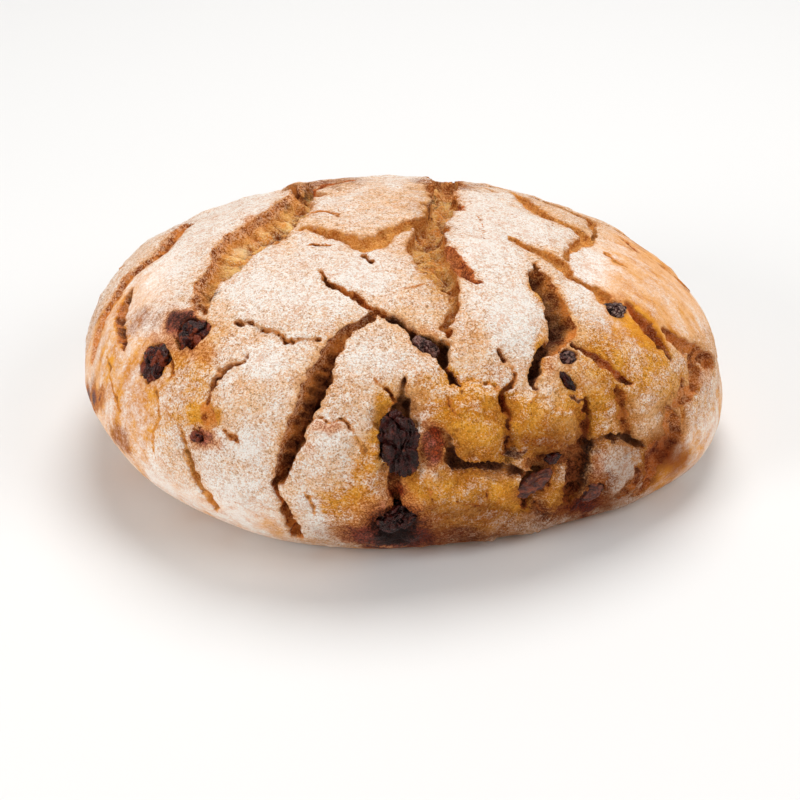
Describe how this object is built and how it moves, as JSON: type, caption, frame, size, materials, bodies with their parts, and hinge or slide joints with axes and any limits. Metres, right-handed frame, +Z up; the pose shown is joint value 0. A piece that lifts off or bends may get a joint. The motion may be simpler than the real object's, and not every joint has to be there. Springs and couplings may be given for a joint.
{
  "type": "round loaf of bread",
  "caption": "Round crusty loaf of raisin and walnut corn bread with a floury crust burst into plates, and fruit showing in the cracks.",
  "frame": {"origin": "middle of the flat base, under the centre of the bounding box", "axes": "+Z up out of the crown, -Y towards the front of the loaf, +X to its right seen from the front"},
  "size_m": [0.1759, 0.1674, 0.0696],
  "materials": {
    "crust": "baked golden crust dusted with flour, crumb in the cracks",
    "raisin": "dark wrinkled raisin skin with a soft gloss",
    "walnut": "toasted walnut kernel"
  },
  "bodies": {
    "root": {"loaf": "crust", "raisin_front": "raisin", "raisin_front_low": "raisin", "raisin_left_upper": "raisin", "raisin_left_lower": "raisin", "raisin_left_small": "raisin", "raisin_centre": "raisin", "raisin_right": "raisin", "raisin_right_crack": "raisin", "raisin_right_split": "raisin", "raisin_right_low": "raisin", "raisin_back": "raisin", "raisin_back_left": "raisin", "walnut_front": "walnut", "walnut_right": "walnut", "walnut_back": "walnut"}
  },
  "joints": []
}
